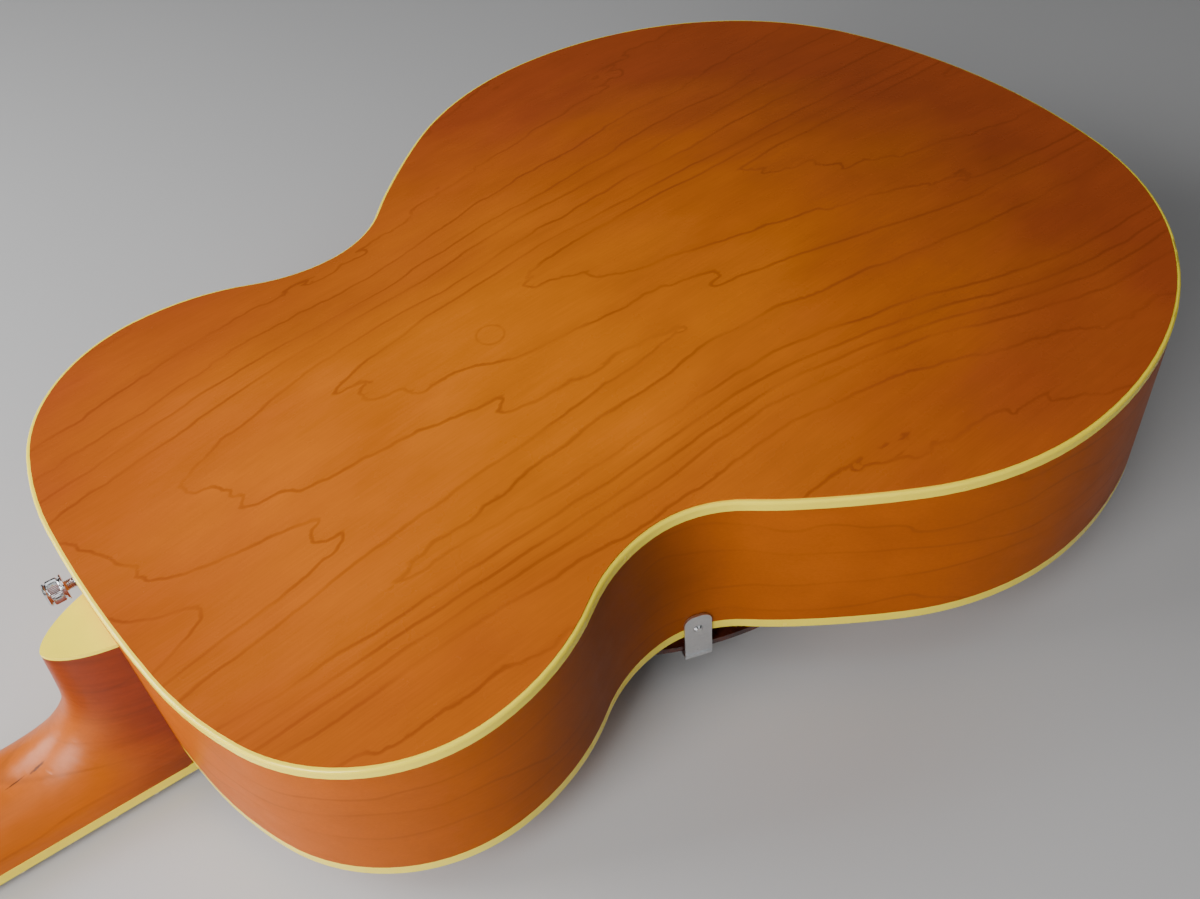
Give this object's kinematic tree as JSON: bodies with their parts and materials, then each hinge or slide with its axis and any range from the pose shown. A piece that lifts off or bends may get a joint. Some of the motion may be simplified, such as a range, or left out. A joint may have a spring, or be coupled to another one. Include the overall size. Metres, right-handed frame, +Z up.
{
  "type": "archtop guitar",
  "caption": "Acoustic archtop guitar lying face down: arched bound body with sound holes, heeled neck, open-gear tuners, floating bridge with wheels, trapeze tailpiece and raised pickguard.",
  "frame": {"origin": "centre of the bounding box on the surface that the guitar lies on, face down on its saddle and nut", "axes": "+X along the strings from the head to the tail, +Y to the bass side, +Z up, out of the back"},
  "size_m": [1.0675, 0.406, 0.146],
  "materials": {
    "maple_body": "semi-gloss amber lacquer over figured maple",
    "spruce_top": "semi-gloss amber lacquer over straight-grained spruce",
    "plain_wood": "bare wood",
    "maple_neck": "satin red-brown lacquer",
    "cream_binding": "aged cream, polished",
    "rosewood": "oiled",
    "nickel_silver": "polished",
    "pearl": "pearly",
    "bone": "polished bone",
    "black_lacquer": "black, gloss",
    "steel": "plain steel",
    "brass": "turned",
    "bronze_winding": "round wound",
    "tortoise": "dark red-brown tortoise, gloss",
    "chrome": "polished, lightly worn",
    "cream_button": "aged cream, polished"
  },
  "bodies": {
    "guitar": {"back_plate": "maple_body", "top_plate": "spruce_top", "rib_bass": "maple_body", "rib_treble": "maple_body", "back_binding": "cream_binding", "top_binding": "cream_binding", "neck_block": "plain_wood", "tail_block": "plain_wood", "back_linings": "plain_wood", "top_linings": "plain_wood", "tone_bars": "plain_wood", "neck": "maple_neck", "heel_cap": "cream_binding", "head_plate": "black_lacquer", "fingerboard": "rosewood", "fingerboard_binding": "cream_binding", "frets": "nickel_silver", "position_dots": "pearl", "nut": "bone", "truss_rod": "steel", "truss_rod_cover": "black_lacquer", "tuner_plates": "chrome", "tuner_bushings": "chrome", "bridge_base": "rosewood", "bridge_posts": "chrome", "tailpiece_hinge": "chrome", "tailpiece_trapeze": "chrome", "tailpiece_bar": "chrome", "string_1": "bronze_winding", "string_2": "bronze_winding", "string_3": "bronze_winding", "string_4": "bronze_winding", "string_5": "steel", "string_6": "steel", "pickguard": "tortoise", "pickguard_bracket": "chrome", "strap_buttons": "chrome", "wood_screws": "chrome"},
    "key_1": {"tuner_key_1": "chrome", "tuner_button_1": "cream_button"},
    "key_2": {"tuner_key_2": "chrome", "tuner_button_2": "cream_button"},
    "key_3": {"tuner_key_3": "chrome", "tuner_button_3": "cream_button"},
    "key_4": {"tuner_key_4": "chrome", "tuner_button_4": "cream_button"},
    "key_5": {"tuner_key_5": "chrome", "tuner_button_5": "cream_button"},
    "key_6": {"tuner_key_6": "chrome", "tuner_button_6": "cream_button"},
    "post_1": {"tuner_post_1": "chrome"},
    "post_2": {"tuner_post_2": "chrome"},
    "post_3": {"tuner_post_3": "chrome"},
    "post_4": {"tuner_post_4": "chrome"},
    "post_5": {"tuner_post_5": "chrome"},
    "post_6": {"tuner_post_6": "chrome"},
    "saddle": {"bridge_saddle": "rosewood"},
    "wheel_bass": {"thumbwheel_bass": "chrome"},
    "wheel_treble": {"thumbwheel_treble": "chrome"},
    "truss_nut": {"truss_rod_nut": "brass"}
  },
  "joints": [
    {"name": "key_turn_1", "type": "hinge", "parent": "guitar", "child": "key_1", "pos_m": [-0.39573, 0.01983, 0.03882], "axis": [0, 1, 0], "continuous": true},
    {"name": "post_turn_1", "type": "hinge", "parent": "guitar", "child": "post_1", "pos_m": [-0.40381, 0.01983, 0.03616], "axis": [0.2368, 0, 0.9715], "continuous": true},
    {"name": "key_turn_2", "type": "hinge", "parent": "guitar", "child": "key_2", "pos_m": [-0.43653, 0.02231, 0.04876], "axis": [0, 1, 0], "continuous": true},
    {"name": "post_turn_2", "type": "hinge", "parent": "guitar", "child": "post_2", "pos_m": [-0.44462, 0.02231, 0.0461], "axis": [0.2368, 0, 0.9715], "continuous": true},
    {"name": "key_turn_3", "type": "hinge", "parent": "guitar", "child": "key_3", "pos_m": [-0.47734, 0.02479, 0.05871], "axis": [0, 1, 0], "continuous": true},
    {"name": "post_turn_3", "type": "hinge", "parent": "guitar", "child": "post_3", "pos_m": [-0.48542, 0.02479, 0.05605], "axis": [0.2368, 0, 0.9715], "continuous": true},
    {"name": "key_turn_4", "type": "hinge", "parent": "guitar", "child": "key_4", "pos_m": [-0.47734, -0.02479, 0.05871], "axis": [0, -1, 0], "continuous": true},
    {"name": "post_turn_4", "type": "hinge", "parent": "guitar", "child": "post_4", "pos_m": [-0.48542, -0.02479, 0.05605], "axis": [0.2368, 0, 0.9715], "continuous": true},
    {"name": "key_turn_5", "type": "hinge", "parent": "guitar", "child": "key_5", "pos_m": [-0.43653, -0.02231, 0.04876], "axis": [0, -1, 0], "continuous": true},
    {"name": "post_turn_5", "type": "hinge", "parent": "guitar", "child": "post_5", "pos_m": [-0.44462, -0.02231, 0.0461], "axis": [0.2368, 0, 0.9715], "continuous": true},
    {"name": "key_turn_6", "type": "hinge", "parent": "guitar", "child": "key_6", "pos_m": [-0.39573, -0.01983, 0.03882], "axis": [0, -1, 0], "continuous": true},
    {"name": "post_turn_6", "type": "hinge", "parent": "guitar", "child": "post_6", "pos_m": [-0.40381, -0.01983, 0.03616], "axis": [0.2368, 0, 0.9715], "continuous": true},
    {"name": "wheel_turn_bass", "type": "hinge", "parent": "saddle", "child": "wheel_bass", "pos_m": [0.27545, 0.037, 0.00963], "axis": [0, 0, -1], "range_deg": [-510, 1530]},
    {"name": "wheel_turn_treble", "type": "hinge", "parent": "saddle", "child": "wheel_treble", "pos_m": [0.27545, -0.037, 0.00963], "axis": [0, 0, -1], "range_deg": [-512, 1532]},
    {"name": "saddle_lift", "type": "slide", "parent": "guitar", "child": "saddle", "axis": [0, 0, -1], "range_m": [-0.001, 0.003], "deforming": ["string_1", "string_2", "string_3", "string_4", "string_5", "string_6"]},
    {"name": "truss_nut_turn", "type": "hinge", "parent": "guitar", "child": "truss_nut", "pos_m": [-0.37464, 0, 0.01563], "axis": [-1, 0, -0.0052], "range_deg": [-180, 180]}
  ],
  "couplings": [
    {"joint": "post_turn_1", "follows": "key_turn_1", "ratio": -0.066667},
    {"joint": "post_turn_2", "follows": "key_turn_2", "ratio": -0.066667},
    {"joint": "post_turn_3", "follows": "key_turn_3", "ratio": -0.066667},
    {"joint": "post_turn_4", "follows": "key_turn_4", "ratio": -0.066667},
    {"joint": "post_turn_5", "follows": "key_turn_5", "ratio": -0.066667},
    {"joint": "post_turn_6", "follows": "key_turn_6", "ratio": -0.066667},
    {"joint": "wheel_turn_treble", "follows": "wheel_turn_bass", "ratio": 1},
    {"joint": "saddle_lift", "follows": "wheel_turn_bass", "m_per_rad": 0.00011141}
  ]
}
